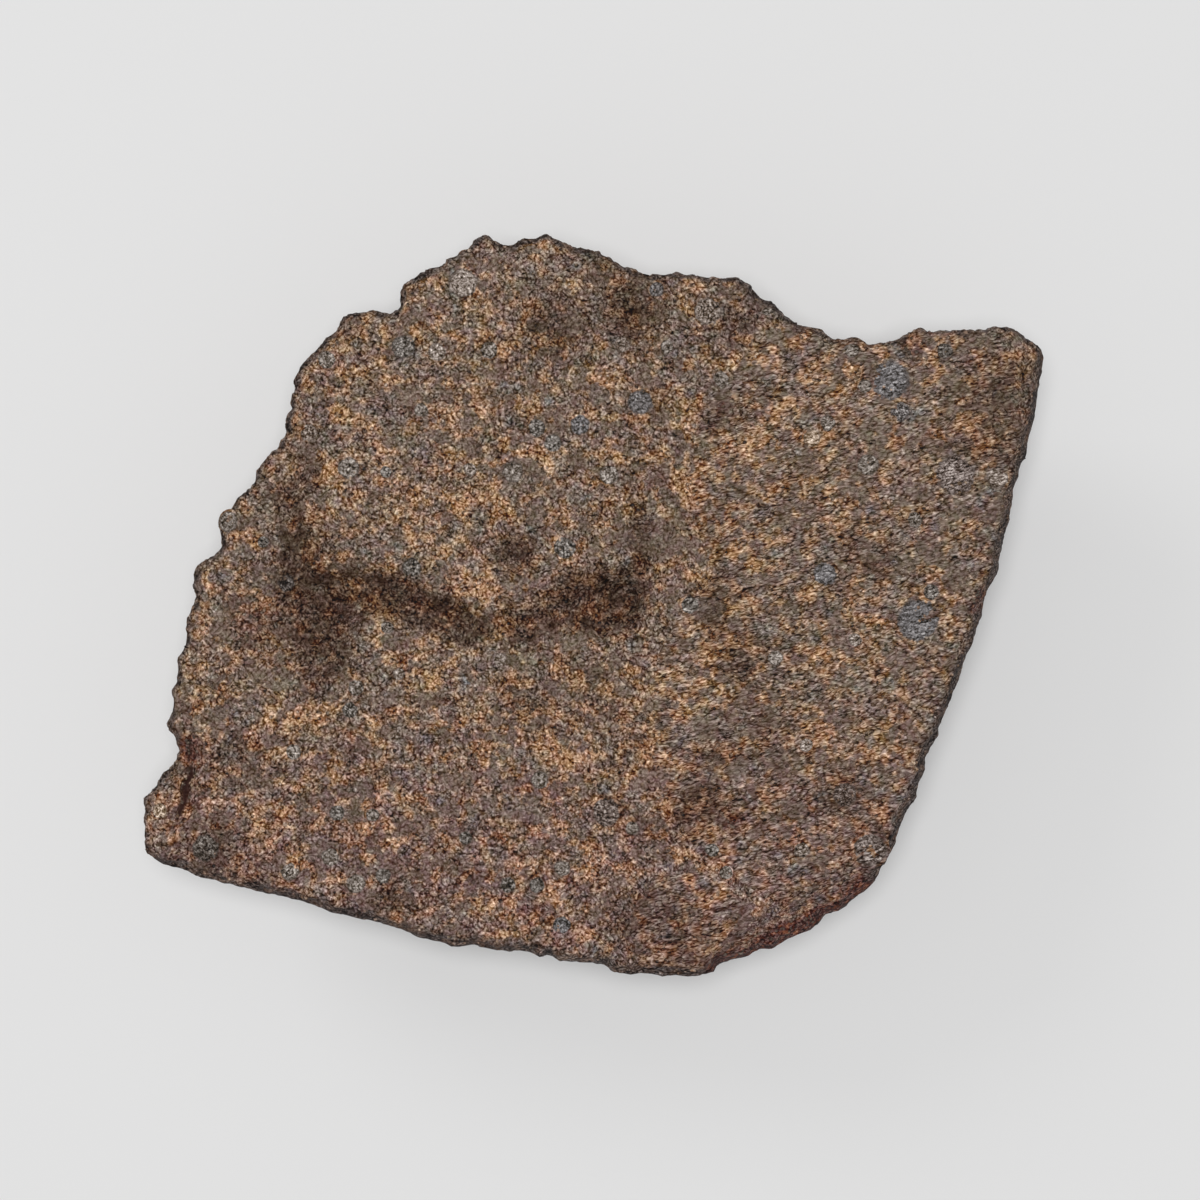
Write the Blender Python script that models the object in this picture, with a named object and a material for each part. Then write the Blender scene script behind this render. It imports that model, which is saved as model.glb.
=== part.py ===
"""Chondrite meteorite: an end cut about 45 mm long, lying on its natural back with its rough-sawn face up.

The stone is one closed solid. Its upper side is the sawn face, seen from above as a four-cornered outline
with broken, scalloped edges on the left and along the top, and worn natural crust on the right and along
the bottom. A crooked trench crosses the left half of the face. The rest of the stone is a rounded back with
worn facets, shallow dimples and one small flat spot that it rests on.

Lengths are in millimetres until the mesh is made, with +X right, +Y up the face and +Z out of it.
"""

import math

import bpy
import numpy as np
from mathutils import Vector, geometry, noise

MM = 0.001

# Driving dimensions
STONE_HEIGHT = 13.0
FACE_WAVE = 0.14
FACE_WAVE_LENGTH = 7.0
FACE_LUMP = 0.07
FACE_LUMP_LENGTH = 1.6

# The shoulder that rounds the face over into the side
SHOULDER_DROP = 0.45
CRUST_DROP_RIGHT = 0.85
CRUST_DROP_BELOW = 0.55
SHOULDER_WIDTH = 0.25
CRUST_WIDTH_RIGHT = 0.75
CRUST_WIDTH_BELOW = 0.35
SHOULDER_SOFTENING = 3

# The rounded back, level 0 being the outline and level 1 the rest spot
BACK_CENTRE = (0.4, -0.6)
REST_SPOT_SCALE = 0.38
BACK_FULLNESS = 3.4
BACK_ROUNDNESS = 0.5
BACK_LEVELS = (0.05, 0.11, 0.18, 0.26, 0.35, 0.44, 0.53, 0.62, 0.71, 0.79, 0.86, 0.92, 0.96, 0.985, 1.0)
THUMBPRINT_DEPTH = 0.55
THUMBPRINT_SIZE = 6.5
THUMBPRINT_STEEPNESS = 1.6
SWELL_DEPTH = 1.1
SWELL_LENGTH = 11.0
BREAK_DEPTH = 0.9
BREAK_LENGTH = 3.2
CRUST_FACING = -0.2
BROKEN_FACING = 0.6
BROAD_LEVEL = 0.4
UPRIGHT_LEVEL = 0.5
CALM_LEVEL = 0.9

# Broad facets worn on the back: compass direction and tilt below level in degrees, and depth of the cut
FACETS = (
    (205.0, 28.0, 1.2), (255.0, 40.0, 1.2), (305.0, 24.0, 0.7), (335.0, 50.0, 1.5), (20.0, 20.0, 0.8),
    (60.0, 46.0, 1.7), (105.0, 30.0, 0.9), (150.0, 44.0, 1.5), (182.0, 56.0, 1.3),
)

# Mesh density
OUTLINE_STEPS = 250
OUTLINE_SOFTENING = 8
FACE_SPACING = 0.55
TRENCH_SPACING = 0.3
TRENCH_RIM_DEPTH = 0.1
EDGE_MARGIN = 0.6
TRENCH_MARGIN = 0.7
REST_SPOT_SPACING = 2.5
REST_SPOT_MARGIN = 0.5
SAME_POINT = 1e-6
TRIANGLE_BUDGET = 9400

STONE_COLOUR = (0.19, 0.127, 0.096, 1.0)
STONE_ROUGHNESS = 0.9

# The outline seen from above, from the middle of the face, anticlockwise from the left-hand corner
LEFT_CORNER = (
    (-22.55, -9.7), (-22.45, -10.15), (-22.6, -10.7), (-22.45, -11.4), (-22.6, -11.85), (-22.5, -12.35),
    (-22.15, -12.7), (-21.65, -13.0),
)
LOWER_EDGE = (
    (-20.9, -13.2), (-19.7, -13.65), (-18.4, -14.0), (-16.7, -14.4), (-14.9, -14.8), (-13.7, -15.2),
    (-13.2, -15.45), (-12.5, -15.55), (-10.7, -16.0), (-9.7, -16.3), (-8.65, -16.75), (-7.75, -16.8),
    (-7.4, -17.1), (-7.05, -17.2), (-6.5, -17.1), (-5.9, -17.1), (-4.7, -17.35), (-3.6, -17.35),
    (-2.8, -17.6), (-2.2, -17.55), (-1.95, -17.8), (-1.4, -17.9), (0.3, -18.0), (0.75, -18.25),
    (1.2, -18.5), (2.3, -18.5), (3.3, -18.6), (5.3, -18.65),
)
BROKEN_CORNER = (
    (6.1, -18.4), (6.4, -18.1), (7.8, -17.75), (8.4, -17.4), (9.05, -17.4), (9.4, -17.1), (10.7, -16.5),
    (11.3, -16.15), (11.55, -15.7), (12.3, -15.5), (13.3, -14.7), (14.0, -14.2),
)
RIGHT_EDGE = (
    (14.6, -13.0), (14.9, -12.55), (15.3, -11.5), (15.7, -10.4), (16.15, -9.9), (16.3, -8.9), (16.6, -8.5),
    (16.75, -7.35), (17.25, -6.7), (17.4, -6.0), (17.95, -4.8), (18.3, -3.75), (18.8, -2.45), (19.4, -0.85),
    (19.75, 0.7), (20.3, 1.45), (20.3, 2.1), (20.55, 2.5), (20.5, 2.95), (20.95, 4.4), (21.2, 6.0),
    (21.5, 7.2), (21.8, 7.4), (21.8, 8.4), (22.3, 9.6), (22.25, 10.3), (22.45, 11.2), (22.6, 12.5),
)
TOP_EDGE = (
    (22.35, 13.15), (21.5, 13.5), (21.25, 13.8), (20.4, 14.0), (19.4, 13.75), (18.5, 13.85), (17.95, 13.75),
    (17.3, 13.7), (16.85, 13.85), (16.3, 13.85), (15.5, 13.5), (15.1, 13.25), (13.5, 13.15), (13.1, 13.4),
    (12.7, 13.3), (12.0, 13.3), (11.45, 13.85), (10.4, 14.1), (9.7, 14.4), (8.95, 15.15), (8.55, 15.3),
    (7.7, 16.15), (6.95, 16.45), (5.8, 16.4), (4.9, 16.65), (3.7, 16.65), (3.0, 16.5), (2.1, 16.8),
    (1.7, 16.8), (0.9, 17.4), (-0.1, 17.85), (-1.2, 18.0), (-1.65, 18.35), (-2.1, 18.4), (-2.4, 18.6),
    (-2.75, 18.45), (-3.6, 18.3), (-4.1, 18.0), (-4.6, 18.0), (-5.15, 18.5), (-5.75, 18.5), (-6.3, 17.9),
    (-7.1, 17.5), (-7.4, 17.2), (-8.2, 16.8), (-9.5, 16.15), (-9.6, 15.3), (-9.95, 14.65), (-10.6, 14.55),
)
BROKEN_EDGE = (
    (-10.8, 14.8), (-11.05, 14.9), (-11.25, 14.7), (-12.2, 14.7), (-12.65, 14.4), (-12.9, 13.9),
    (-14.1, 12.7), (-14.2, 12.4), (-14.85, 11.8), (-14.95, 10.9), (-15.2, 10.5), (-15.2, 9.9),
    (-15.45, 9.2), (-15.4, 8.6), (-15.75, 8.15), (-15.75, 7.85), (-16.6, 7.35), (-17.0, 6.35),
    (-17.25, 5.9), (-18.0, 5.3), (-18.05, 5.0), (-18.55, 4.6), (-18.75, 3.9), (-18.7, 2.8), (-19.7, 2.2),
    (-20.0, 1.8), (-20.0, 1.5), (-20.25, 1.1), (-19.9, 0.4), (-20.35, -0.6), (-20.45, -1.6), (-20.6, -2.3),
    (-20.9, -2.9), (-20.85, -3.6), (-21.2, -4.5), (-21.1, -5.1), (-21.3, -5.8), (-21.05, -6.4),
    (-20.85, -7.3), (-20.9, -7.7), (-21.7, -8.75), (-22.2, -9.25),
)

# Grooves of the face: the trench's three arms, a crack and a gash. Each station is x, y, half width and
# depth, and the side on the left of the direction of travel is the steeper one.
TRENCH_LEFT_ARM = (
    (-14.7, 7.2, 1.0, 0.25), (-15.9, 5.3, 1.2, 0.4), (-15.2, 3.5, 1.3, 0.55), (-14.6, 2.0, 1.9, 0.75),
    (-14.2, 0.0, 2.7, 0.95), (-13.8, -1.9, 2.3, 0.8), (-14.0, -3.4, 1.5, 0.35),
)
TRENCH_BAND = (
    (-12.8, 0.7, 1.6, 0.8), (-10.5, 0.6, 1.5, 0.75), (-8.7, -0.2, 1.5, 0.75), (-6.7, -1.0, 1.5, 0.7),
    (-4.4, -1.1, 1.5, 0.45), (-2.2, -0.3, 1.8, 0.6), (0.2, -0.1, 2.0, 0.8), (1.2, 0.1, 1.9, 0.8),
)
TRENCH_RIGHT_ARM = ((2.7, 5.6, 0.8, 0.2), (2.3, 3.0, 1.0, 0.45), (1.8, 0.6, 1.4, 0.75))
CRACK = ((-20.1, -7.6, 0.35, 0.5), (-20.3, -9.0, 0.3, 0.6), (-20.9, -10.6, 0.25, 0.4))
GASH = ((15.6, 12.9, 0.3, 0.35), (16.8, 13.4, 0.35, 0.45))
GROOVES = (TRENCH_LEFT_ARM, TRENCH_BAND, TRENCH_RIGHT_ARM, CRACK, GASH)
STEEP_SIDE = 1.1
GENTLE_SIDE = 1.4
GROOVE_FLOOR = 0.1
WANDER = 0.35
WANDER_LENGTH = 2.4
WANDER_OFFSET = 40.0

# Hollows and swells of the face: x, y, radius and depth, a swell having a depth below zero
HOLLOWS = (
    (-3.8, 2.8, 0.8, 0.5), (-2.2, 13.8, 2.2, 0.45), (1.8, 15.2, 2.2, 0.7), (2.8, 14.2, 1.2, 0.4),
    (7.0, 14.2, 1.8, 0.45), (6.8, 9.8, 1.4, 0.45), (5.4, -9.4, 2.4, 0.55), (7.4, -2.7, 1.0, 0.4),
    (6.8, 2.6, 1.5, 0.25), (-18.2, -12.4, 2.2, 0.4), (-9.2, -14.8, 2.4, 0.4), (3.4, -16.3, 2.4, 0.45),
    (20.9, 10.2, 2.4, 0.5), (-4.2, -4.3, 1.2, 0.3), (17.0, -5.6, 1.8, 0.3), (-16.4, 7.0, 2.4, 0.35),
    (-20.3, -7.0, 0.9, 0.45), (13.5, 2.3, 2.6, 0.15), (-1.4, -8.0, 4.0, -0.15), (8.8, 11.0, 3.0, -0.15),
    (-6.5, 4.6, 4.6, -0.35), (-12.0, 11.5, 3.0, -0.15), (-10.8, -6.4, 4.0, -0.12),
)

# The broken bevel that slopes off the lower right edge
BEVEL_START = (6.0, -18.5)
BEVEL_END = (14.3, -13.6)
BEVEL_WIDTH = 1.8
BEVEL_DROP = 1.3
BEVEL_RUN_OUT = 1.0


def clear_scene():
    for old in list(bpy.data.objects):
        bpy.data.objects.remove(old)


def smoothstep(low, high, values):
    share = np.clip((values - low) / (high - low), 0.0, 1.0)
    return share * share * (3.0 - 2.0 * share)


def spline_through(corners, steps_each=12):
    """A closed smooth curve through the corners, with the same number of steps between each two."""
    here = np.array(corners)
    before = np.roll(here, 1, axis=0)
    after = np.roll(here, -1, axis=0)
    beyond = np.roll(here, -2, axis=0)
    curve = []
    for step in range(steps_each):
        t = step / steps_each
        curve.append(0.5 * (
            2.0 * here + (after - before) * t
            + (2.0 * before - 5.0 * here + 4.0 * after - beyond) * t**2
            + (3.0 * here - before - 3.0 * after + beyond) * t**3
        ))
    return np.stack(curve, axis=1).reshape(-1, 2)


def evenly_spaced(curve, count):
    """Points at equal steps along a closed curve."""
    closed = np.vstack([curve, curve[:1]])
    reach = np.concatenate([[0.0], np.cumsum(np.linalg.norm(np.diff(closed, axis=0), axis=1))])
    wanted = np.linspace(0.0, reach[-1], count, endpoint=False)
    return np.stack([np.interp(wanted, reach, closed[:, axis]) for axis in (0, 1)], axis=1)


def softened(outline, reach):
    """The outline averaged over its neighbours, so that only its broad form is left."""
    total = np.zeros_like(outline)
    weights = 0.0
    for shift in range(-reach, reach + 1):
        weight = math.cos(0.5 * math.pi * shift / (reach + 1)) ** 2
        total += weight * np.roll(outline, shift, axis=0)
        weights += weight
    return total / weights


def outward_normals(outline):
    """Unit normals of an anticlockwise outline, pointing away from the stone."""
    along = np.roll(outline, -1, axis=0) - np.roll(outline, 1, axis=0)
    normals = np.stack([along[:, 1], -along[:, 0]], axis=1)
    return normals / np.linalg.norm(normals, axis=1, keepdims=True)


def stone_outline():
    corners = LEFT_CORNER + LOWER_EDGE + BROKEN_CORNER + RIGHT_EDGE + TOP_EDGE + BROKEN_EDGE
    outline = evenly_spaced(spline_through(corners), OUTLINE_STEPS)
    middle = 0.5 * (outline.min(axis=0) + outline.max(axis=0))
    return outline - middle


def groove_depth(points, stations):
    """Depth of one groove: the deepest of its stretches, with a steep wall on the left and a gentle one."""
    depth = np.zeros(len(points))
    for start, end in zip(stations[:-1], stations[1:]):
        begin = np.array(start[:2])
        along = np.array(end[:2]) - begin
        offset = points - begin
        share = np.clip(offset @ along / (along @ along), 0.0, 1.0)
        gap = points - (begin + share[:, None] * along)
        left = along[0] * gap[:, 1] - along[1] * gap[:, 0] > 0.0
        half_width = start[2] + share * (end[2] - start[2])
        half_width = half_width * np.where(left, STEEP_SIDE, GENTLE_SIDE)
        floor = start[3] + share * (end[3] - start[3])
        away = np.linalg.norm(gap, axis=1) / half_width
        depth = np.maximum(depth, floor * (1.0 - smoothstep(GROOVE_FLOOR, 1.0, away)))
    return depth


def hollow_depth(points):
    depth = np.zeros(len(points))
    for x, y, radius, deepest in HOLLOWS:
        away = np.linalg.norm(points - (x, y), axis=1) / radius
        depth += deepest * (1.0 - smoothstep(0.0, 1.0, away))
    return depth


def bevel_depth(points):
    """How far the broken lower right edge falls away from the face."""
    start = np.array(BEVEL_START)
    along = np.array(BEVEL_END) - start
    length = np.linalg.norm(along)
    along = along / length
    offset = points - start
    forward = offset @ along
    inward = along[0] * offset[:, 1] - along[1] * offset[:, 0]
    risen = smoothstep(-BEVEL_RUN_OUT, BEVEL_RUN_OUT, forward)
    gone = smoothstep(length - BEVEL_RUN_OUT, length + BEVEL_RUN_OUT, forward)
    return BEVEL_DROP * risen * (1.0 - gone) * (1.0 - smoothstep(0.0, BEVEL_WIDTH, inward))


def noise_at(points, length, octaves=1):
    """Smooth noise from about -1 to 1, one value for each point, with features of the given length."""
    places = [Vector((*point, 0.0)[:3]) / length for point in points]
    return np.array([noise.fractal(place, 1.0, 2.0, octaves) for place in places])


def shoulder_size(normals):
    """Width and drop of the rounded shoulder, larger where natural crust faces right or down the face."""
    right = np.clip(normals[:, 0], 0.0, 1.0) ** 2
    below = np.clip(-normals[:, 1], 0.0, 1.0) ** 2
    width = SHOULDER_WIDTH + CRUST_WIDTH_RIGHT * right + CRUST_WIDTH_BELOW * below
    drop = SHOULDER_DROP + CRUST_DROP_RIGHT * right + CRUST_DROP_BELOW * below
    return width, drop


def wandering(points):
    """The points pushed about a little, so that grooves and hollows get natural, uneven edges."""
    sideways = noise_at(points, WANDER_LENGTH, 2)
    lengthways = noise_at(points + WANDER_OFFSET, WANDER_LENGTH, 2)
    return points + WANDER * np.column_stack([sideways, lengthways])


def sunk_depth(points):
    """Depth of the grooves and hollows together."""
    pushed = wandering(points)
    return sum(groove_depth(pushed, stations) for stations in GROOVES) + hollow_depth(pushed)


def face_height(points, outline, shoulder_width, shoulder_drop):
    """Height of the upper side at each point, its shoulder included."""
    gaps = np.linalg.norm(points[:, None, :] - outline[None, :, :], axis=2)
    nearest = gaps.argmin(axis=1)
    inside = np.clip(gaps.min(axis=1) / shoulder_width[nearest], 0.0, 1.0)
    shoulder = shoulder_drop[nearest] * (1.0 - np.sqrt(1.0 - (1.0 - inside) ** 2))
    wave = FACE_WAVE * noise_at(points, FACE_WAVE_LENGTH) + FACE_LUMP * noise_at(points, FACE_LUMP_LENGTH, 3)
    return STONE_HEIGHT + wave - sunk_depth(points) - bevel_depth(points) - shoulder


def grid_inside(outline, spacing, margin):
    """A triangular grid of points that stay the margin away from the outline."""
    low = outline.min(axis=0)
    high = outline.max(axis=0)
    row_step = spacing * math.sqrt(0.75)
    points = []
    for row in range(int((high[1] - low[1]) / row_step)):
        y = low[1] + (row + 0.5) * row_step
        shift = 0.5 * spacing * (row % 2)
        points += [(x, y) for x in np.arange(low[0] + shift, high[0], spacing)]
    points = np.array(points)
    following = np.roll(outline, -1, axis=0)
    crossings = np.zeros(len(points), int)
    for begin, end in zip(outline, following):
        spans = (begin[1] > points[:, 1]) != (end[1] > points[:, 1])
        rise = end[1] - begin[1] if end[1] != begin[1] else 1.0
        at = begin[0] + (points[:, 1] - begin[1]) * (end[0] - begin[0]) / rise
        crossings += spans & (points[:, 0] < at)
    gaps = np.linalg.norm(points[:, None, :] - outline[None, :, :], axis=2).min(axis=1)
    return points[(crossings % 2 == 1) & (gaps > margin)]


def face_grid(outline):
    """Points inside the face, closer together where it is grooved or hollowed."""
    margin = EDGE_MARGIN * FACE_SPACING
    coarse = grid_inside(outline, FACE_SPACING, margin)
    fine = grid_inside(outline, TRENCH_SPACING, margin)
    fine = fine[sunk_depth(fine) > TRENCH_RIM_DEPTH]
    gaps = np.array([np.linalg.norm(fine - point, axis=1).min() for point in coarse])
    return np.vstack([coarse[gaps > TRENCH_MARGIN * FACE_SPACING], fine])


def triangulated(outline, inner):
    """Triangles between an outline and the points inside it, as indices into the outline and then inner."""
    points = [Vector(point) for point in np.vstack([outline, inner])]
    count = len(outline)
    loop = [(index, (index + 1) % count) for index in range(count)]
    _, _, faces, origins, _, _ = geometry.delaunay_2d_cdt(points, loop, [], 1, SAME_POINT)
    first = [origin[0] for origin in origins]
    return [tuple(first[corner] for corner in face) for face in faces]


def back_ring(outline, broad, level, edge_height):
    """One ring of the side and back, at a level from 0 at the outline to 1 at the rest spot."""
    centre = np.array(BACK_CENTRE)
    fall = (1.0 - level**BACK_FULLNESS) ** BACK_ROUNDNESS
    scale = REST_SPOT_SCALE + (1.0 - REST_SPOT_SCALE) * fall
    blend = smoothstep(0.0, BROAD_LEVEL, np.array(level))
    ring = centre + scale * ((1.0 - blend) * outline + blend * broad - centre)
    return np.column_stack([ring, edge_height * (1.0 - level)])


def thumbprint_depth(place):
    """Depth of the rounded dimples that melting leaves: deepest inside a cell, nothing on its ridges."""
    near, next_near = noise.voronoi(Vector(place) / THUMBPRINT_SIZE)[0][:2]
    return THUMBPRINT_DEPTH * min(1.0, THUMBPRINT_STEEPNESS * (next_near - near))


def bitten(places, facing, levels):
    """The back's points, taken in towards the stone by swells, thumbprints and breaks."""
    swells = SWELL_DEPTH * (0.5 + 0.5 * noise_at(places, SWELL_LENGTH))
    thumbprints = np.array([thumbprint_depth(place) for place in places])
    breaks = BREAK_DEPTH * np.abs(noise_at(places, BREAK_LENGTH, 3))
    broken = smoothstep(CRUST_FACING, BROKEN_FACING, facing[:, 1] - facing[:, 0])
    depth = swells + thumbprints * (1.0 - broken) + breaks * broken
    depth *= smoothstep(0.0, UPRIGHT_LEVEL, levels) * (1.0 - smoothstep(CALM_LEVEL, 1.0, levels))
    return places - np.column_stack([facing, np.zeros(len(places))]) * depth[:, None]


def with_facets(places, levels):
    """The back's points, those beyond a facet's plane brought back to it, less so near the face."""
    free = smoothstep(0.0, UPRIGHT_LEVEL, levels)
    for compass, tilt, cut in FACETS:
        flat = math.cos(math.radians(tilt))
        facing = np.array([
            flat * math.cos(math.radians(compass)),
            flat * math.sin(math.radians(compass)),
            -math.sin(math.radians(tilt)),
        ])
        reach = places @ facing
        beyond = free * np.clip(reach - (reach.max() - cut), 0.0, None)
        places = places - beyond[:, None] * facing
    return places


def strip_between(upper, lower, count):
    """Triangles that join two rings, given the index of the first point of each."""
    faces = []
    for index in range(count):
        following = (index + 1) % count
        faces.append((upper + index, lower + index, lower + following))
        faces.append((upper + index, lower + following, upper + following))
    return faces


def stone_mesh():
    outline = stone_outline()
    broad = softened(outline, OUTLINE_SOFTENING)
    count = len(outline)
    width, drop = shoulder_size(outward_normals(softened(outline, SHOULDER_SOFTENING)))
    inner = face_grid(outline)
    face_points = np.vstack([outline, inner])
    heights = face_height(face_points, outline, width, drop)
    faces = triangulated(outline, inner)

    upper = 0
    total = len(face_points)
    rings = []
    for level in BACK_LEVELS:
        rings.append(back_ring(outline, broad, level, heights[:count]))
        faces += strip_between(upper, total, count)
        upper = total
        total += count
    levels = np.repeat(BACK_LEVELS[:-1], count)
    facing = np.tile(outward_normals(broad), (len(BACK_LEVELS) - 1, 1))
    back = bitten(with_facets(np.vstack(rings[:-1]), levels), facing, levels)
    back = np.vstack([back, rings[-1]])

    rest_outline = rings[-1][:, :2]
    spot = grid_inside(rest_outline, REST_SPOT_SPACING, REST_SPOT_MARGIN * REST_SPOT_SPACING)
    faces += [tuple(upper + corner for corner in face[::-1]) for face in triangulated(rest_outline, spot)]
    spot_places = np.column_stack([spot, np.zeros(len(spot))])
    return np.vstack([np.column_stack([face_points, heights]), back, spot_places]) * MM, faces


def stone_material():
    material = bpy.data.materials.new("weathered_stone")
    material.use_nodes = True
    shader = material.node_tree.nodes["Principled BSDF"]
    shader.inputs["Base Color"].default_value = STONE_COLOUR
    shader.inputs["Roughness"].default_value = STONE_ROUGHNESS
    shader.inputs["Metallic"].default_value = 0.0
    return material


def make_meteorite():
    places, faces = stone_mesh()
    mesh = bpy.data.meshes.new("meteorite")
    mesh.from_pydata([tuple(place) for place in places], [], faces)
    mesh.validate()
    stone = bpy.data.objects.new("meteorite", mesh)
    bpy.context.scene.collection.objects.link(stone)
    stone.data.materials.append(stone_material())
    thin = stone.modifiers.new("fewer_faces", "DECIMATE")
    thin.decimate_type = "COLLAPSE"
    thin.ratio = TRIANGLE_BUDGET / len(faces)
    mesh.shade_smooth()
    return stone


clear_scene()
make_meteorite()
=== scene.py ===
"""Chondrite meteorite: the looks of an end cut about 45 mm long that lies on its back, sawn face up.

The stone itself is one fine mesh with real roughness, pits and saw marks. Chondrules, the round beads of
the rock, and crumbs of its minerals are set into the face as meshes of their own. All three are made in
millimetres and brought to metres when they are finished. The floor, the lamps and the camera are in metres.
"""

import math

import bmesh
import bpy
import numpy as np
from mathutils import Matrix, Vector, noise
from mathutils.bvhtree import BVHTree
from mathutils.kdtree import KDTree


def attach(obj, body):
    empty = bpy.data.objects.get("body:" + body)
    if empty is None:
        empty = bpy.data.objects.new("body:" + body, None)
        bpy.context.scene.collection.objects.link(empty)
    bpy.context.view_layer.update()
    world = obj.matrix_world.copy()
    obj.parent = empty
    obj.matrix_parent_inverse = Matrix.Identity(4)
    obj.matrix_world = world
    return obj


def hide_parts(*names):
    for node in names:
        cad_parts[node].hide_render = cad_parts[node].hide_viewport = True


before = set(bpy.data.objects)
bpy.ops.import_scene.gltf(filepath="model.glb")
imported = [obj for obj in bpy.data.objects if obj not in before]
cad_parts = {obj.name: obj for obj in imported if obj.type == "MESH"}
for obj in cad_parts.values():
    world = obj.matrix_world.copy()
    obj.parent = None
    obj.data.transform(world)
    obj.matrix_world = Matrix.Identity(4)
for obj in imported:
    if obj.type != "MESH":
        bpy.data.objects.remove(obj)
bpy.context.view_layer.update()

MM = 0.001
PIXELS_PER_MM = 20.0
FACE_CENTRE_PIXEL = (594.0, 606.0)
PICTURE_CENTRE_PIXEL = (600.0, 600.0)
PICTURE_WIDTH = 1200.0

# Grit, as noise waves to a millimetre and how far each moves a brightness that runs from 0 to 255
GRIT = ((1.4, 40.0), (3.2, 40.0), (6.5, 128.0), (9.0, 74.0))

# Winding threads, as waves to a millimetre, width, and how far they move the brightness
THREADS = ((3.4, 0.1, -62.0), (4.5, 0.1, 52.0), (5.4, 0.1, -46.0))

# The ground's hue is its red less its blue. It wanders in waves, each given as waves to a millimetre and
# reach, and crumbs, patches, beads and flat grains move it
HUE_WAVES = ((0.7, 48.0), (1.4, 76.0), (2.2, 52.0), (4.6, 10.0))
HUE_MIDDLE = 37.0
HUE_SPAN = 75.0
GREYEST = 12.0
GREYEST_SLOPE = 0.6
CRUMB_HUE = 13.0
OCHRE_HUE = 11.0
GREYED_HUE = -9.0
GRAINS_UP_TO_HUE = 38.0
GRAINS_NONE_FROM_HUE = 50.0
GRAIN_HUES = (15.0, 29.0)
GRAIN_PULL = 0.8
CONTRAST_HUES = (8.0, 60.0)
CONTRASTS = (0.86, 1.1)

# The green that waves add for golden crumbs, and the green taken away between two places in y, in millimetres
GOLDEN_WAVES = ((0.8, 11.0), (3.2, 13.0))
REDDENED_FROM = -4.0
REDDENED_TO = -12.0
REDDENING = -3.5

# Flat angular grains and small beads: how many to a millimetre, and the share of them that shows
LARGE_GRAINS = (0.95, 0.22)
SMALL_GRAINS = (1.9, 0.17)
LARGE_BEADS = (0.62, 0.5)
SMALL_BEADS = (1.25, 0.35)
LARGE_BEAD_HUE = -18.0
SMALL_BEAD_HUE = -14.0
BEAD_WIDTHS = (0.16, 0.36)

# What a stain and the painted shade in the trench multiply the colour by, and how much of it shows
STAIN_AND_SHADE_TINT = (0.54, 0.44, 0.36, 1.0)
STAIN_AND_SHADE_SHARE = 0.85

# The share of the grit's contrast that is left in a stain, in the trench's painted shade, and on a flat grain
STAIN_AND_SHADE_CALM = 0.75
FLAT_SHARE = 0.6

# The ground's colour at each hue
GROUND = (
    (0.0, (95, 92, 93)), (16.0, (103, 91, 84)), (31.0, (110, 90, 78)), (45.0, (127, 100, 80)),
    (61.0, (145, 110, 82)), (75.0, (157, 117, 84)),
)

# The stone's mesh, in millimetres. Its face is what is high and faces up, and it is smooth where it rests
STONE_SPACING = 0.135
STONE_TRIANGLES = 186000
WELD_DISTANCE = 0.0005
FACE_TILT = 0.5
FACE_ABOVE = 9.0
SMOOTH_BELOW = 0.05
LOWEST_ROUGH = 0.5

# The stone's relief, in millimetres, and the share of the pattern's cells that hold a pit
PIT_SHARE = 0.38
RELIEF = {
    "Grain Depth": 0.10,
    "Grain Size": 0.32,
    "Lump Depth": 0.12,
    "Lump Size": 1.1,
    "Pit Depth": 0.14,
    "Pit Size": 0.75,
    "Saw Depth": 0.05,
    "Saw Pitch": 0.34,
    "Break Depth": 0.85,
    "Break Size": 1.1,
    "Crust Depth": 0.36,
    "Crust Size": 0.75,
    "Crack Depth": 0.2,
}
SAW_ANGLE = math.radians(12.0)
SAW_STRETCH = 0.06
STREAK_STRETCH = (0.62, 1.3, 1.0)

# The dark rim round the face: partly crust, and partly painted shade of the sides that turn away from the
# light, so it is wider on the right and along the bottom
OUTLINE_STEPS = 720
RIM_WIDTH = 0.2
RIM_SHADE_WIDTH_RIGHT = 0.3
RIM_SHADE_WIDTH_BELOW = 0.3
RIM_STRENGTH = 0.85
RIM_RAGGEDNESS = 1.2
RIM_LEAST = 0.2
RIM_FADE = (0.35, 1.3)
RUST_OVER_CRUST = 0.9
BROKEN_SIDE_CRUST = 0.45

# How marks wander off their plain outlines, as wave length, reach and seed, and how soft their edges are. The
# noise itself needs a seed, or Blender draws it anew in each run
NOISE_SEED = 5
PATCH_WANDER = (1.5, 0.45, 3.0)
STAIN_WANDER = (0.5, 0.2, 8.0)
RIM_WANDER = (0.7, 0.3, 5.0)
CRACK_WANDER = (0.6, 0.2, 4.0)
FIRM_EDGE = 0.3
TRENCH_EDGE = 0.4
SAWN_EDGE = 0.5
COMMON_EDGE = 0.55
SOFT_EDGE = 0.8

# Where the face gives way to the sides: in millimetres from the outline, and in shares of a normal
CRUMB_MARGIN = (0.12, 0.4)
TILT_BLEND = 0.15
TOP_TILT = (0.05, 0.35)
UPPER_LEFT_FACING = (-0.2, 0.4)

# The finest roughness, as waves to a millimetre
BUMP_SCALE = 9.0

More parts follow.
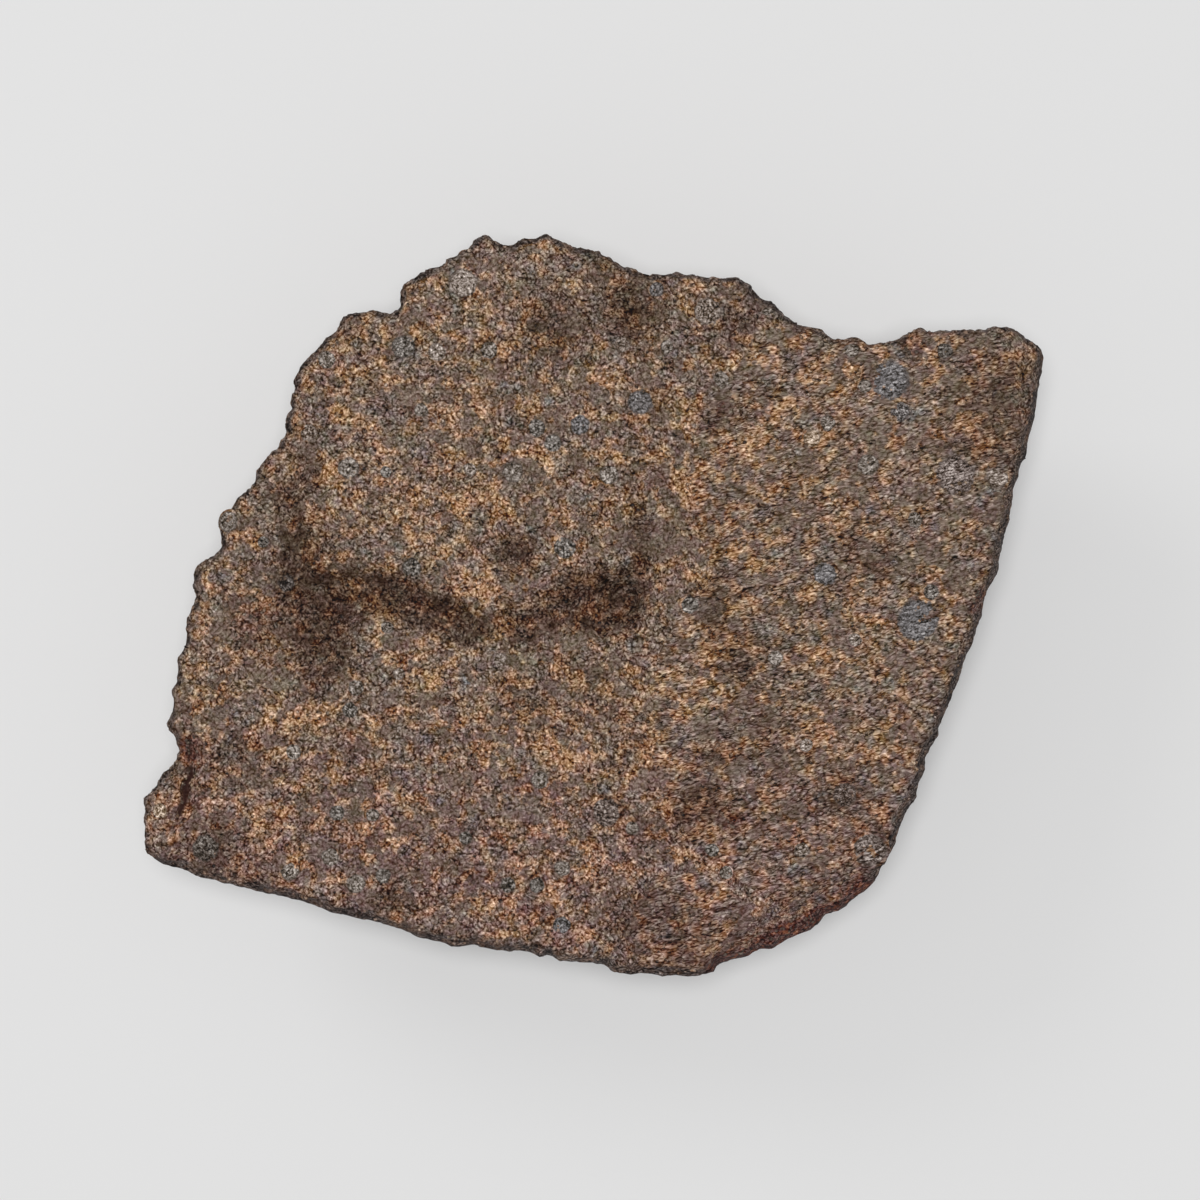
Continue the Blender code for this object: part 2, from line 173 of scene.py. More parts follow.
# Chondrules read from the photograph: pixel x, pixel y, pixel radius and kind
BLUE, DARK, STEEL, GREY, PALE, CREAM, MAUVE = 0.05, 0.2, 0.35, 0.5, 0.65, 0.8, 0.95
CHONDRULES = (
    (918, 620, 22, BLUE), (890, 380, 20, BLUE), (640, 402, 13, BLUE), (955, 475, 20, MAUVE),
    (565, 548, 11, STEEL), (349, 468, 11, GREY), (229, 522, 11, GREY), (513, 472, 11, GREY),
    (463, 283, 15, PALE), (708, 311, 14, PALE), (606, 812, 14, MAUVE), (870, 850, 17, MAUVE),
    (412, 567, 10, STEEL), (327, 360, 9, GREY), (403, 347, 12, STEEL), (437, 352, 9, PALE),
    (489, 350, 9, GREY), (657, 289, 8, BLUE), (580, 425, 10, BLUE), (553, 443, 9, STEEL),
    (537, 428, 9, STEEL), (721, 379, 8, GREY), (622, 345, 8, PALE), (667, 347, 7, GREY),
    (768, 312, 6, GREY), (852, 351, 8, GREY), (865, 386, 7, GREY), (900, 412, 10, DARK),
    (945, 351, 8, STEEL), (828, 423, 8, GREY), (812, 438, 9, CREAM), (997, 478, 11, PALE),
    (915, 520, 8, GREY), (825, 574, 12, BLUE), (931, 592, 8, STEEL), (855, 640, 7, PALE),
    (562, 925, 9, BLUE), (562, 868, 8, GREY), (508, 885, 8, STEEL), (537, 885, 8, STEEL),
    (466, 838, 7, STEEL), (632, 828, 7, GREY), (802, 850, 8, PALE), (726, 873, 7, GREY),
    (712, 850, 7, STEEL), (160, 811, 8, CREAM), (205, 848, 14, STEEL), (330, 857, 9, GREY),
    (290, 872, 9, GREY), (356, 884, 10, GREY), (383, 876, 8, STEEL), (337, 813, 8, STEEL),
    (373, 815, 7, GREY), (294, 752, 8, GREY), (350, 710, 8, STEEL), (540, 780, 9, GREY),
    (500, 660, 7, PALE), (399, 674, 6, PALE), (387, 628, 7, GREY), (356, 688, 8, GREY),
    (690, 605, 9, STEEL), (421, 410, 7, GREY), (309, 433, 9, PALE), (386, 472, 6, STEEL),
    (263, 542, 6, STEEL), (285, 583, 9, DARK), (845, 795, 12, MAUVE), (868, 465, 11, GREY),
    (609, 475, 10, GREY), (775, 658, 8, GREY), (806, 745, 7, PALE), (470, 470, 7, PALE),
)

# The threads in chondrules, and the colour of each kind
BEAD_THREADS = ((4.6, 0.09, 46.0), (5.8, 0.09, -60.0))
KIND_COLOURS = (
    (0.0, (100, 96, 97)), (0.14, (85, 79, 78)), (0.28, (95, 88, 83)), (0.43, (112, 102, 95)),
    (0.58, (127, 114, 106)), (0.72, (148, 127, 108)), (0.88, (106, 93, 88)),
)

# The meshes of chondrules and crumbs, in millimetres. A crumb's height is a share of its radius
BEAD_SIZES = {"Proud Height": 0.09, "Wobble": 0.05, "Wobble Size": 0.3}
CRUMB_SIZES = {
    "Crumbs For Each Square": 7.0, "Smallest": 0.05, "Largest": 0.13, "Height": 0.55, "Seed": 4,
    "Wobble": 0.05, "Wobble Size": 0.12,
}

# How much wider a bead is than the spot that shows, and the share of its height at which it is cut flat
BEAD_MARGIN = 1.2
BEAD_TOP = 0.62

# The height from which the face is looked for, and the height taken where a look misses it
LOOK_FROM = 20.0
FACE_HEIGHT = 12.8

# The sheet that carries the stone's colours: the share of its width that each part takes
SHEET_MARGIN = 0.005
FACE_SHARE = 0.74
UNDERSIDE_TILT = -0.8
UNDERSIDE_SHARE = 0.24
UNDERSIDE_CORNER = (0.755, 0.75)
STRIP_HEIGHT = 0.17
STRIP_STEP = 0.185

# Stains and tinted patches, read from the photograph: pixel x, pixel y, pixel radius and strength
# The trench's two chains are partly brown soil and rust, and partly painted shade in the hollow
TRENCH_LEFT_ARM = (
    (305, 480, 15, 0.5), (285, 505, 15, 0.6), (290, 535, 18, 0.8), (300, 570, 26, 0.85),
    (320, 605, 38, 0.9), (320, 650, 28, 0.7), (315, 685, 16, 0.5),
)
TRENCH_BAND = (
    (335, 590, 24, 0.9), (390, 592, 18, 1.05), (435, 615, 20, 1.0), (475, 630, 17, 0.75),
    (505, 625, 14, 0.45), (535, 625, 20, 0.8), (560, 605, 22, 0.8), (595, 602, 32, 1.0),
    (622, 608, 24, 1.0), (640, 565, 12, 0.7), (642, 520, 12, 0.45), (640, 500, 10, 0.3),
)
DARK_STAINS = (
    (630, 310, 28, 0.75), (555, 325, 28, 0.55), (735, 325, 26, 0.45), (610, 260, 20, 0.35),
    (345, 320, 16, 0.4), (515, 555, 17, 0.8), (700, 810, 26, 0.65), (740, 660, 22, 0.55),
    (720, 415, 18, 0.35), (715, 620, 20, 0.4), (1000, 395, 32, 0.45), (985, 440, 28, 0.5),
    (1010, 370, 22, 0.4), (880, 560, 22, 0.4), (845, 540, 10, 0.5), (640, 925, 26, 0.45),
    (680, 935, 28, 0.45), (220, 855, 28, 0.45), (260, 875, 20, 0.35), (395, 900, 24, 0.4),
    (775, 740, 18, 0.35), (715, 755, 22, 0.3), (865, 820, 24, 0.3), (610, 815, 14, 0.35),
    (530, 700, 26, 0.35), (720, 590, 22, 0.4), (280, 640, 22, 0.35), (235, 755, 24, 0.35),
    (835, 800, 26, 0.3), (335, 545, 20, 0.35), (655, 400, 14, 0.4), (590, 685, 22, 0.3),
    (640, 735, 16, 0.35), (650, 825, 20, 0.3), (300, 435, 20, 0.3), (685, 812, 8, 0.9),
    (735, 823, 8, 0.8), (317, 620, 5, 1.2), (517, 550, 6, 1.0), (645, 515, 6, 0.9),
)
OCHRE_PATCHES = (
    (355, 345, 30, 0.9), (365, 395, 28, 0.7), (485, 370, 28, 0.5), (440, 430, 24, 0.4), (480, 475, 38, 0.55),
    (400, 510, 32, 0.9), (440, 555, 24, 0.4), (230, 690, 30, 0.5), (285, 725, 32, 0.8), (320, 800, 26, 0.5),
    (425, 670, 32, 0.8), (490, 630, 14, 0.5), (570, 720, 36, 1.0), (600, 435, 26, 0.4), (670, 430, 32, 0.8),
    (655, 470, 26, 0.7), (770, 375, 36, 0.8), (810, 440, 22, 0.5), (770, 470, 26, 0.45), (750, 545, 34, 0.9),
    (825, 535, 14, 0.5), (655, 685, 28, 0.7), (715, 660, 22, 0.4), (640, 765, 28, 0.6), (815, 755, 24, 0.6),
    (530, 815, 30, 0.8), (580, 840, 26, 0.6), (400, 825, 30, 0.7), (345, 870, 28, 0.7), (525, 920, 34, 1.1),
    (630, 855, 28, 0.7), (710, 905, 28, 0.7), (740, 865, 24, 0.4), (895, 655, 30, 0.5), (840, 370, 26, 0.5),
    (395, 735, 28, 0.5), (315, 750, 24, 0.4), (600, 602, 11, 1.6), (425, 606, 9, 1.3), (362, 603, 9, 1.3),
    (393, 498, 9, 1.3), (470, 920, 26, 0.5),
)
GREY_PATCHES = (
    (460, 280, 28, 0.6), (545, 300, 30, 0.6), (590, 270, 44, 0.4), (615, 310, 24, 0.4), (700, 310, 24, 0.6),
    (745, 315, 26, 0.5), (715, 370, 26, 0.6), (405, 350, 20, 0.5), (400, 425, 28, 0.4), (560, 425, 28, 0.6),
    (990, 395, 36, 0.9), (990, 500, 34, 1.0), (955, 475, 36, 0.6), (1015, 440, 28, 0.7), (890, 560, 30, 0.7),
    (900, 500, 26, 0.6), (840, 415, 22, 0.5), (930, 600, 34, 0.4), (610, 650, 30, 0.7), (570, 560, 22, 0.5),
    (612, 566, 20, 0.5), (290, 580, 24, 0.6), (305, 515, 24, 0.4), (355, 630, 22, 0.7), (700, 595, 24, 0.5),
    (780, 650, 28, 0.5), (715, 760, 30, 0.6), (835, 800, 34, 0.8), (835, 870, 26, 0.5), (205, 860, 28, 0.6),
    (235, 755, 28, 0.5), (205, 590, 30, 0.4), (655, 920, 28, 0.4), (440, 885, 26, 0.4),
)
CRACK = ((189, 748), (191, 772), (184, 796), (177, 818))
CRACK_WIDTH = 2.2
RUST_SPOTS = (
    (728, 405, 8, 0.5), (248, 617, 26, 0.4), (189, 750, 12, 0.8), (985, 592, 9, 0.8), (976, 605, 8, 0.8),
    (735, 823, 8, 0.6), (917, 343, 12, 0.5), (760, 955, 26, 0.5), (190, 790, 14, 0.3),
)
RUST_BEVEL = ((722, 969), (765, 951), (812, 929), (845, 909), (868, 890))
RUST_BEVEL_WIDTH = 13.0
SAWN_AREAS = ((860, 480, 170, 1.0), (840, 720, 190, 1.0), (690, 930, 60, 1.0), (930, 380, 90, 0.8))


def pixel_to_mm(x, y):
    """A place on the sawn face, from the pixel where the photograph shows it."""
    return (x - FACE_CENTRE_PIXEL[0]) / PIXELS_PER_MM, (FACE_CENTRE_PIXEL[1] - y) / PIXELS_PER_MM


def smoothstep(low, high, values):
    share = np.clip((values - low) / (high - low), 0.0, 1.0)
    return share * share * (3.0 - 2.0 * share)


# Node trees


def add_node(tree, kind, values=None, **settings):
    """Adds a node. Its input values are given by name or number, each a plain value or another's output."""
    node = tree.nodes.new(kind)
    for name, value in settings.items():
        setattr(node, name, value)
    for key, value in (values or {}).items():
        if isinstance(value, bpy.types.NodeSocket):
            tree.links.new(value, node.inputs[key])
        else:
            node.inputs[key].default_value = value
    return node


def maths(tree, operation, *terms, clamp=False):
    node = add_node(tree, "ShaderNodeMath", dict(enumerate(terms)), operation=operation, use_clamp=clamp)
    return node.outputs[0]


def vector_maths(tree, operation, first, second=None, scale=None):
    values = {0: first}
    if second is not None:
        values[1] = second
    if scale is not None:
        values["Scale"] = scale
    return add_node(tree, "ShaderNodeVectorMath", values, operation=operation).outputs[0]


def ranged(tree, value, from_low, from_high, to_low=0.0, to_high=1.0, smooth=False):
    """The value carried from one range to another and held inside it."""
    node = add_node(
        tree, "ShaderNodeMapRange", {0: value, 1: from_low, 2: from_high, 3: to_low, 4: to_high},
        interpolation_type="SMOOTHSTEP" if smooth else "LINEAR",
    )
    return node.outputs[0]


def noise_value(tree, place, scale, detail=2.0, roughness=0.5, colour=False):
    values = {"Vector": place, "Scale": scale, "Detail": detail, "Roughness": roughness}
    node = add_node(tree, "ShaderNodeTexNoise", values)
    return node.outputs["Color" if colour else 0]


def cells(tree, place, scale):
    """Voronoi cells: the distance from each cell's middle, and three random numbers for each cell."""
    node = add_node(tree, "ShaderNodeTexVoronoi", {"Vector": place, "Scale": scale})
    if tree.bl_idname == "GeometryNodeTree":
        split = add_node(tree, "ShaderNodeSeparateXYZ", {0: node.outputs["Color"]})
    else:
        split = add_node(tree, "ShaderNodeSeparateColor", {0: node.outputs["Color"]})
    return node.outputs["Distance"], split.outputs


def shape_tree(name, inputs, geometry_in=True):
    """A new Geometry Nodes tree with named number inputs: the tree, what it is given, and its result."""
    tree = bpy.data.node_groups.new(name, "GeometryNodeTree")
    if geometry_in:
        tree.interface.new_socket("Geometry", in_out="INPUT", socket_type="NodeSocketGeometry")
    for label, value in inputs.items():
        kind = "NodeSocketInt" if isinstance(value, int) else "NodeSocketFloat"
        socket = tree.interface.new_socket(label, in_out="INPUT", socket_type=kind)
        socket.default_value = value
    tree.interface.new_socket("Geometry", in_out="OUTPUT", socket_type="NodeSocketGeometry")
    given = tree.nodes.new("NodeGroupInput").outputs
    result = tree.nodes.new("NodeGroupOutput").inputs[0]
    return tree, given, result


def add_shape_modifier(piece, tree, values):
    """Puts the tree on the piece, its inputs set by their sockets' identifiers."""
    modifier = piece.modifiers.new(tree.name, "NODES")
    modifier.node_group = tree
    for item in tree.interface.items_tree:
        if item.in_out == "INPUT" and item.name in values:
            modifier[item.identifier] = values[item.name]


def made_plain(piece):
    """Turns what the piece's modifiers make into its plain mesh, and removes them."""
    shown = piece.evaluated_get(bpy.context.evaluated_depsgraph_get())
    mesh = bpy.data.meshes.new_from_object(shown)
    piece.modifiers.clear()
    piece.data = mesh
    return piece


def new_piece(name, mesh):
    piece = bpy.data.objects.new(name, mesh)
    bpy.context.scene.collection.objects.link(piece)
    return piece


def finished(piece):
    """Brings a piece from millimetres to metres and ties it to the stone's body."""
    piece.data.transform(Matrix.Scale(MM, 4))
    piece.data.update()
    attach(piece, "root")
    return piece


# Masks over the stone's points


def spot_mask(places, spots, softness=COMMON_EDGE):
    """The strongest of a list of soft round spots at each place, as x, y in millimetres."""
    mask = np.zeros(len(places))
    for x, y, radius, strength in spots:
        middle = pixel_to_mm(x, y)
        away = np.linalg.norm(places - middle, axis=1) * PIXELS_PER_MM / radius
        mask = np.maximum(mask, strength * (1.0 - smoothstep(1.0 - softness, 1.0 + softness, away)))
    return mask


def chain_mask(places, chain, softness=COMMON_EDGE):
    """A soft stroke through a list of spots, its width and strength carried from each to the next."""
    mask = np.zeros(len(places))
    for start, end in zip(chain[:-1], chain[1:]):
        begin = np.array(pixel_to_mm(*start[:2]))
        along = np.array(pixel_to_mm(*end[:2])) - begin
        share = np.clip((places - begin) @ along / (along @ along), 0.0, 1.0)
        gap = np.linalg.norm(places - begin - share[:, None] * along, axis=1)
        radius = (start[2] + share * (end[2] - start[2])) / PIXELS_PER_MM
        strength = start[3] + share * (end[3] - start[3])
        mask = np.maximum(mask, strength * (1.0 - smoothstep(1.0 - softness, 1.0 + softness, gap / radius)))
    return mask


def uneven(places, length, reach, seed):
    """The places pushed about by noise, so that what is drawn on them gets natural edges."""
    pushes = [noise.noise_vector(Vector((x / length, y / length, seed))) for x, y in places]
    return places + reach * np.array(pushes)[:, :2]


def mesh_points(mesh):
    points = np.empty(len(mesh.vertices) * 3, np.float32)
    mesh.vertices.foreach_get("co", points)
    return points.reshape(-1, 3).astype(float)


def set_attribute(mesh, name, values):
    attribute = mesh.attributes.get(name) or mesh.attributes.new(name, "FLOAT", "POINT")
    attribute.data.foreach_set("value", np.ascontiguousarray(values, np.float32))


def plain_stone():
    """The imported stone's surface in millimetres, with its loose triangles joined."""
    mesh = bpy.data.meshes.new("meteorite_surface")
    shell = bmesh.new()
    shell.from_mesh(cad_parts["meteorite"].data)
    bmesh.ops.scale(shell, vec=(1.0 / MM,) * 3, verts=shell.verts)
    bmesh.ops.remove_doubles(shell, verts=shell.verts, dist=WELD_DISTANCE)
    shell.to_mesh(mesh)
    shell.free()
    return mesh


def broad_normals(tree, points):
    """The smooth stone's normal nearest to each point."""
    normals = np.empty((len(points), 3))
    for index, point in enumerate(points):
        normals[index] = tree.find_nearest(Vector(point))[1]
    return normals


def outline_search(points):
    """A search tree of the stone's outline seen from above, and the way that each of its points faces."""
    turn = np.arctan2(points[:, 1], points[:, 0]) / (2.0 * math.pi) + 0.5
    step = (turn * OUTLINE_STEPS).astype(int) % OUTLINE_STEPS
    reach = np.zeros(OUTLINE_STEPS)
    np.maximum.at(reach, step, np.hypot(points[:, 0], points[:, 1]))
    reach = np.maximum(reach, 0.5 * (np.roll(reach, 1) + np.roll(reach, -1)))
    angles = ((np.arange(OUTLINE_STEPS) + 0.5) / OUTLINE_STEPS - 0.5) * 2.0 * math.pi
    outline = np.column_stack([reach * np.cos(angles), reach * np.sin(angles)])
    along = np.roll(outline, -3, axis=0) - np.roll(outline, 3, axis=0)
    facing = np.column_stack([along[:, 1], -along[:, 0]]) / np.linalg.norm(along, axis=1, keepdims=True)
    search = KDTree(OUTLINE_STEPS)
    for index, (x, y) in enumerate(outline):
        search.insert((x, y, 0.0), index)
    search.balance()
    return search, facing


def crust_and_shade_rim_mask(places, near_places, outline):
    """The dark rim next to the outline, partly crust and partly painted shade, wider on the right and along
    the bottom, and the distance to it.
    """
    search, facing = outline
    found = [search.find((x, y, 0.0))[1:] for x, y in places]
    index = np.array([item[0] for item in found])
    gap = np.array([item[1] for item in found])
    right = np.clip(facing[index, 0], 0.0, 1.0) ** 2
    below = np.clip(-facing[index, 1], 0.0, 1.0) ** 2
    width = RIM_WIDTH + RIM_SHADE_WIDTH_RIGHT * right + RIM_SHADE_WIDTH_BELOW * below
    ragged = gap + RIM_RAGGEDNESS * np.linalg.norm(near_places - places, axis=1) - RIM_LEAST
    return 1.0 - smoothstep(*RIM_FADE, ragged / width), gap


def mark_stone(mesh, tree, outline):
    """Stores where the stone is sawn, broken, crusted, stained and so on, with the painted shade of the
    trench and of the rim, for its relief and its material.
    """
    points = mesh_points(mesh)
    normals = broad_normals(tree, points)
    flat = points[:, :2]
    high = points[:, 2] > FACE_ABOVE
    face = smoothstep(FACE_TILT - TILT_BLEND, FACE_TILT + TILT_BLEND, normals[:, 2]) * high
    on_top = smoothstep(*TOP_TILT, normals[:, 2]) * high
    calm = smoothstep(SMOOTH_BELOW, LOWEST_ROUGH, points[:, 2])
    upper_left = smoothstep(*UPPER_LEFT_FACING, normals[:, 1] - normals[:, 0])
    near = uneven(flat, *PATCH_WANDER)
    wide = uneven(near, *STAIN_WANDER)
    rim, gap = crust_and_shade_rim_mask(flat, uneven(flat, *RIM_WANDER), outline)
    bevel = [(*corner, RUST_BEVEL_WIDTH, 1.0) for corner in RUST_BEVEL]
    crack = [(*corner, CRACK_WIDTH, 1.0) for corner in CRACK]
    rust = np.maximum(spot_mask(wide, RUST_SPOTS), chain_mask(wide, bevel, FIRM_EDGE))
    side = (1.0 - on_top) * calm * (1.0 - (1.0 - BROKEN_SIDE_CRUST) * upper_left)
    marks = {
        "face": face * smoothstep(*CRUMB_MARGIN, gap),
        "crack": chain_mask(uneven(flat, *CRACK_WANDER), crack) * on_top,
        "calm": calm,
        "broken": (1.0 - face) * upper_left * calm,
        # The crust mask also holds the rim, which is partly painted shade
        "crust_and_shade": np.maximum(RIM_STRENGTH * rim * on_top, side) * (1.0 - RUST_OVER_CRUST * rust * on_top),
        "rust": rust,
        **face_marks(near, wide, on_top),
    }
    for name, values in marks.items():
        set_attribute(mesh, name, values)


def face_marks(near, wide, on_top):
    """The marks that beads, crumbs and the stone itself share."""
    # The trench's darkening is partly stain and partly painted shade in the hollow
    left_arm = chain_mask(wide, TRENCH_LEFT_ARM, TRENCH_EDGE)
    trench = np.maximum(left_arm, chain_mask(wide, TRENCH_BAND, TRENCH_EDGE))
    stain_and_shade = np.maximum(trench, spot_mask(wide, DARK_STAINS, SOFT_EDGE))
    return {
        "sawn": on_top * spot_mask(near, SAWN_AREAS, SAWN_EDGE),
        "stain_and_shade": STAIN_AND_SHADE_SHARE * on_top * stain_and_shade,
        "ochre": on_top * spot_mask(near, OCHRE_PATCHES, SOFT_EDGE),
        "greyed": on_top * spot_mask(near, GREY_PATCHES, SOFT_EDGE),
    }


def relief_tree():
    """Roughens the stone along its normals: grain, lumps, pits, saw marks, broken sides and crust."""
    tree, given, result = shape_tree("rough_stone", RELIEF)
    place = add_node(tree, "GeometryNodeInputPosition").outputs[0]
    normal = add_node(tree, "GeometryNodeInputNormal").outputs[0]

    def mark(name):
        return add_node(tree, "GeometryNodeInputNamedAttribute", {"Name": name}, data_type="FLOAT").outputs[0]

    def wave(depth, size, detail, at=place):
        level = noise_value(tree, at, maths(tree, "DIVIDE", 1.0, given[size]), detail, 0.6)
        return maths(tree, "MULTIPLY", maths(tree, "SUBTRACT", level, 0.5), given[depth])

    distance, random = cells(tree, place, maths(tree, "DIVIDE", 1.0, given["Pit Size"]))
    hole = ranged(tree, distance, 0.12, 0.34, 1.0, 0.0, smooth=True)
    hole = maths(tree, "MULTIPLY", hole, maths(tree, "GREATER_THAN", random[0], 1.0 - PIT_SHARE))
    pits = maths(tree, "MULTIPLY", hole, given["Pit Depth"])

    turned = add_node(
        tree, "ShaderNodeVectorRotate", {"Vector": place, "Angle": -SAW_ANGLE}, rotation_type="Z_AXIS"
    ).outputs[0]
    stretched = vector_maths(tree, "MULTIPLY", turned, (SAW_STRETCH, 1.0, SAW_STRETCH))
    saw = maths(tree, "MULTIPLY", wave("Saw Depth", "Saw Pitch", 2.0, stretched), mark("sawn"))

    on_face = maths(tree, "ADD", wave("Grain Depth", "Grain Size", 3.0), wave("Lump Depth", "Lump Size", 2.0))
    on_face = maths(tree, "SUBTRACT", on_face, pits)
    total = maths(tree, "MULTIPLY", on_face, mark("calm"))
    total = maths(tree, "ADD", total, saw)
    broken = maths(tree, "MULTIPLY", wave("Break Depth", "Break Size", 4.0), mark("broken"))
    crust_and_shade = maths(tree, "MULTIPLY", wave("Crust Depth", "Crust Size", 3.0), mark("crust_and_shade"))
    total = maths(tree, "ADD", total, maths(tree, "ADD", broken, crust_and_shade))
    total = maths(tree, "SUBTRACT", total, maths(tree, "MULTIPLY", given["Crack Depth"], mark("crack")))
    offset = vector_maths(tree, "SCALE", normal, scale=total)
    moved = add_node(tree, "GeometryNodeSetPosition", {"Geometry": given["Geometry"], "Offset": offset})
    tree.links.new(moved.outputs[0], result)
    return tree


def lay_out_map(mesh, tree):
    """The stone's own UV map: the face seen from above, two side strips, and the underside."""
    centres = np.empty(len(mesh.polygons) * 3, np.float32)
    mesh.polygons.foreach_get("center", centres)
    facing = broad_normals(tree, centres.reshape(-1, 3))[:, 2]
    corner_face = np.repeat(np.arange(len(mesh.polygons)), 3)
    corner_point = np.empty(len(mesh.loops), np.int32)
    mesh.loops.foreach_get("vertex_index", corner_point)
    points = mesh_points(mesh)
    spots = points[corner_point]
    middles = centres.reshape(-1, 3)[corner_face]
    facing = facing[corner_face]
    top = (facing > FACE_TILT) & (middles[:, 2] > FACE_ABOVE)
    under = facing < UNDERSIDE_TILT
    front = middles[:, 1] < 0.0
    low = points.min(axis=0)
    span = points.max(axis=0) - low
    share = (spots - low) / span
    sheet = np.zeros((len(spots), 2))
    shape = np.array([1.0, span[1] / span[0]])
    face_corner = (SHEET_MARGIN, 1.0 - FACE_SHARE * shape[1] - SHEET_MARGIN)
    sheet[top] = (share[:, :2] * FACE_SHARE * shape + face_corner)[top]
    sheet[under] = (share[:, :2] * UNDERSIDE_SHARE * shape + UNDERSIDE_CORNER)[under]
    angle = np.arctan2(spots[:, 1], spots[:, 0])
    middle_angle = np.arctan2(middles[:, 1], middles[:, 0])
    angle = middle_angle + (angle - middle_angle + math.pi) % (2.0 * math.pi) - math.pi
    around = np.where(front, angle + math.pi, angle) / math.pi
    across = (1.0 - 2.0 * SHEET_MARGIN) * np.clip(around, 0.0, 1.0)
    strip = np.column_stack([across, STRIP_HEIGHT * share[:, 2]]) + SHEET_MARGIN
    strip[~front, 1] += STRIP_STEP
    side = ~top & ~under
    sheet[side] = strip[side]
    layer = mesh.uv_layers.new(name="OFBake")
    layer.data.foreach_set("uv", sheet.astype(np.float32).ravel())


def make_stone():
    """The stone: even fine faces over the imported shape, roughened, thinned and marked."""
    smooth = plain_stone()
    shell = bmesh.new()
    shell.from_mesh(smooth)
    tree = BVHTree.FromBMesh(shell)
    shell.free()
    stone = new_piece("stone", smooth)
    even = stone.modifiers.new("even_faces", "REMESH")
    even.mode = "VOXEL"
    even.voxel_size = STONE_SPACING
    made_plain(stone)
    outline = outline_search(mesh_points(stone.data))
    mark_stone(stone.data, tree, outline)
    add_shape_modifier(stone, relief_tree(), RELIEF)
    made_plain(stone)
    thin = stone.modifiers.new("fewer_faces", "DECIMATE")
    thin.ratio = min(1.0, STONE_TRIANGLES / (2 * len(stone.data.polygons)))
    thin.use_collapse_triangulate = True
    made_plain(stone)
    mark_stone(stone.data, tree, outline)
    lay_out_map(stone.data, tree)
    stone.data.shade_smooth()
    return stone


# Beads and crumbs


def bead_shape(tree):
    """One flattened bead with a radius of 1, and on each point its distance from the middle."""
    ball = add_node(tree, "GeometryNodeMeshIcoSphere", {"Radius": 1.0, "Subdivisions": 3}).outputs[0]
    place = add_node(tree, "GeometryNodeInputPosition").outputs[0]
    split = add_node(tree, "ShaderNodeSeparateXYZ", {0: place}).outputs
    flat = add_node(tree, "ShaderNodeCombineXYZ", {0: split[0], 1: split[1], 2: 0.0}).outputs[0]
    away = add_node(tree, "ShaderNodeVectorMath", {0: flat}, operation="LENGTH").outputs["Value"]
    ball = add_node(
        tree, "GeometryNodeStoreNamedAttribute", {"Geometry": ball, "Name": "from_middle", "Value": away},
        data_type="FLOAT", domain="POINT",
    ).outputs[0]
    height = maths(tree, "MINIMUM", split[2], BEAD_TOP)
    lowered = add_node(tree, "ShaderNodeCombineXYZ", {0: split[0], 1: split[1], 2: height}).outputs[0]
    return add_node(tree, "GeometryNodeSetPosition", {"Geometry": ball, "Position": lowered}).outputs[0]


def finish_shape_tree(tree, shape, result, material, wobble, wobble_size):
    """Makes the instances real, roughens them a little and gives them their material."""
    real = add_node(tree, "GeometryNodeRealizeInstances", {0: shape}).outputs[0]
    place = add_node(tree, "GeometryNodeInputPosition").outputs[0]
    push = noise_value(tree, place, maths(tree, "DIVIDE", 1.0, wobble_size), 2.0, 0.6, colour=True)
    push = vector_maths(tree, "SUBTRACT", push, (0.5, 0.5, 0.5))
    push = vector_maths(tree, "SCALE", push, scale=wobble)
    moved = add_node(tree, "GeometryNodeSetPosition", {"Geometry": real, "Offset": push}).outputs[0]
    smooth = add_node(tree, "GeometryNodeSetShadeSmooth", {"Geometry": moved}).outputs[0]
    painted = add_node(tree, "GeometryNodeSetMaterial", {"Geometry": smooth, "Material": material})
    tree.links.new(painted.outputs[0], result)


def random_number(tree, low, high, seed):
    node = add_node(tree, "FunctionNodeRandomValue", data_type="FLOAT")
    node.inputs[2].default_value = low
    node.inputs[3].default_value = high
    if isinstance(seed, bpy.types.NodeSocket):
        tree.links.new(seed, node.inputs["Seed"])
    else:
        node.inputs["Seed"].default_value = seed
    return node.outputs[1]


def chondrule_tree(material):
    """A bead on every point, as wide as the point's radius says."""
    tree, given, result = shape_tree("chondrules", BEAD_SIZES)
    radius = add_node(
        tree, "GeometryNodeInputNamedAttribute", {"Name": "radius"}, data_type="FLOAT"
    ).outputs[0]
    size = {0: radius, 1: radius, 2: given["Proud Height"]}
    scale = add_node(tree, "ShaderNodeCombineXYZ", size).outputs[0]
    slope = add_node(
        tree, "GeometryNodeInputNamedAttribute", {"Name": "slope"}, data_type="FLOAT_VECTOR"
    ).outputs[0]
    lean = add_node(tree, "FunctionNodeAlignRotationToVector", {"Vector": slope}, axis="Z").outputs[0]
    placed = add_node(tree, "GeometryNodeInstanceOnPoints", {
        "Points": given["Geometry"], "Instance": bead_shape(tree), "Scale": scale, "Rotation": lean,
    }).outputs[0]
    finish_shape_tree(tree, placed, result, material, given["Wobble"], given["Wobble Size"])
    return tree


def bed_under(surface, across, up, reach):
    """The middle height of the face round a place, and the way it faces there, from five looks down."""

    def height(x, y):
        hit = surface.ray_cast(Vector((x, y, LOOK_FROM)), Vector((0.0, 0.0, -1.0)))[0]
        return hit.z if hit else FACE_HEIGHT

    left, right = height(across - reach, up), height(across + reach, up)
    below, above = height(across, up - reach), height(across, up + reach)
    slope = Vector((left - right, below - above, 2.0 * reach)).normalized()
    return (left + right + below + above + height(across, up)) / 5.0, slope


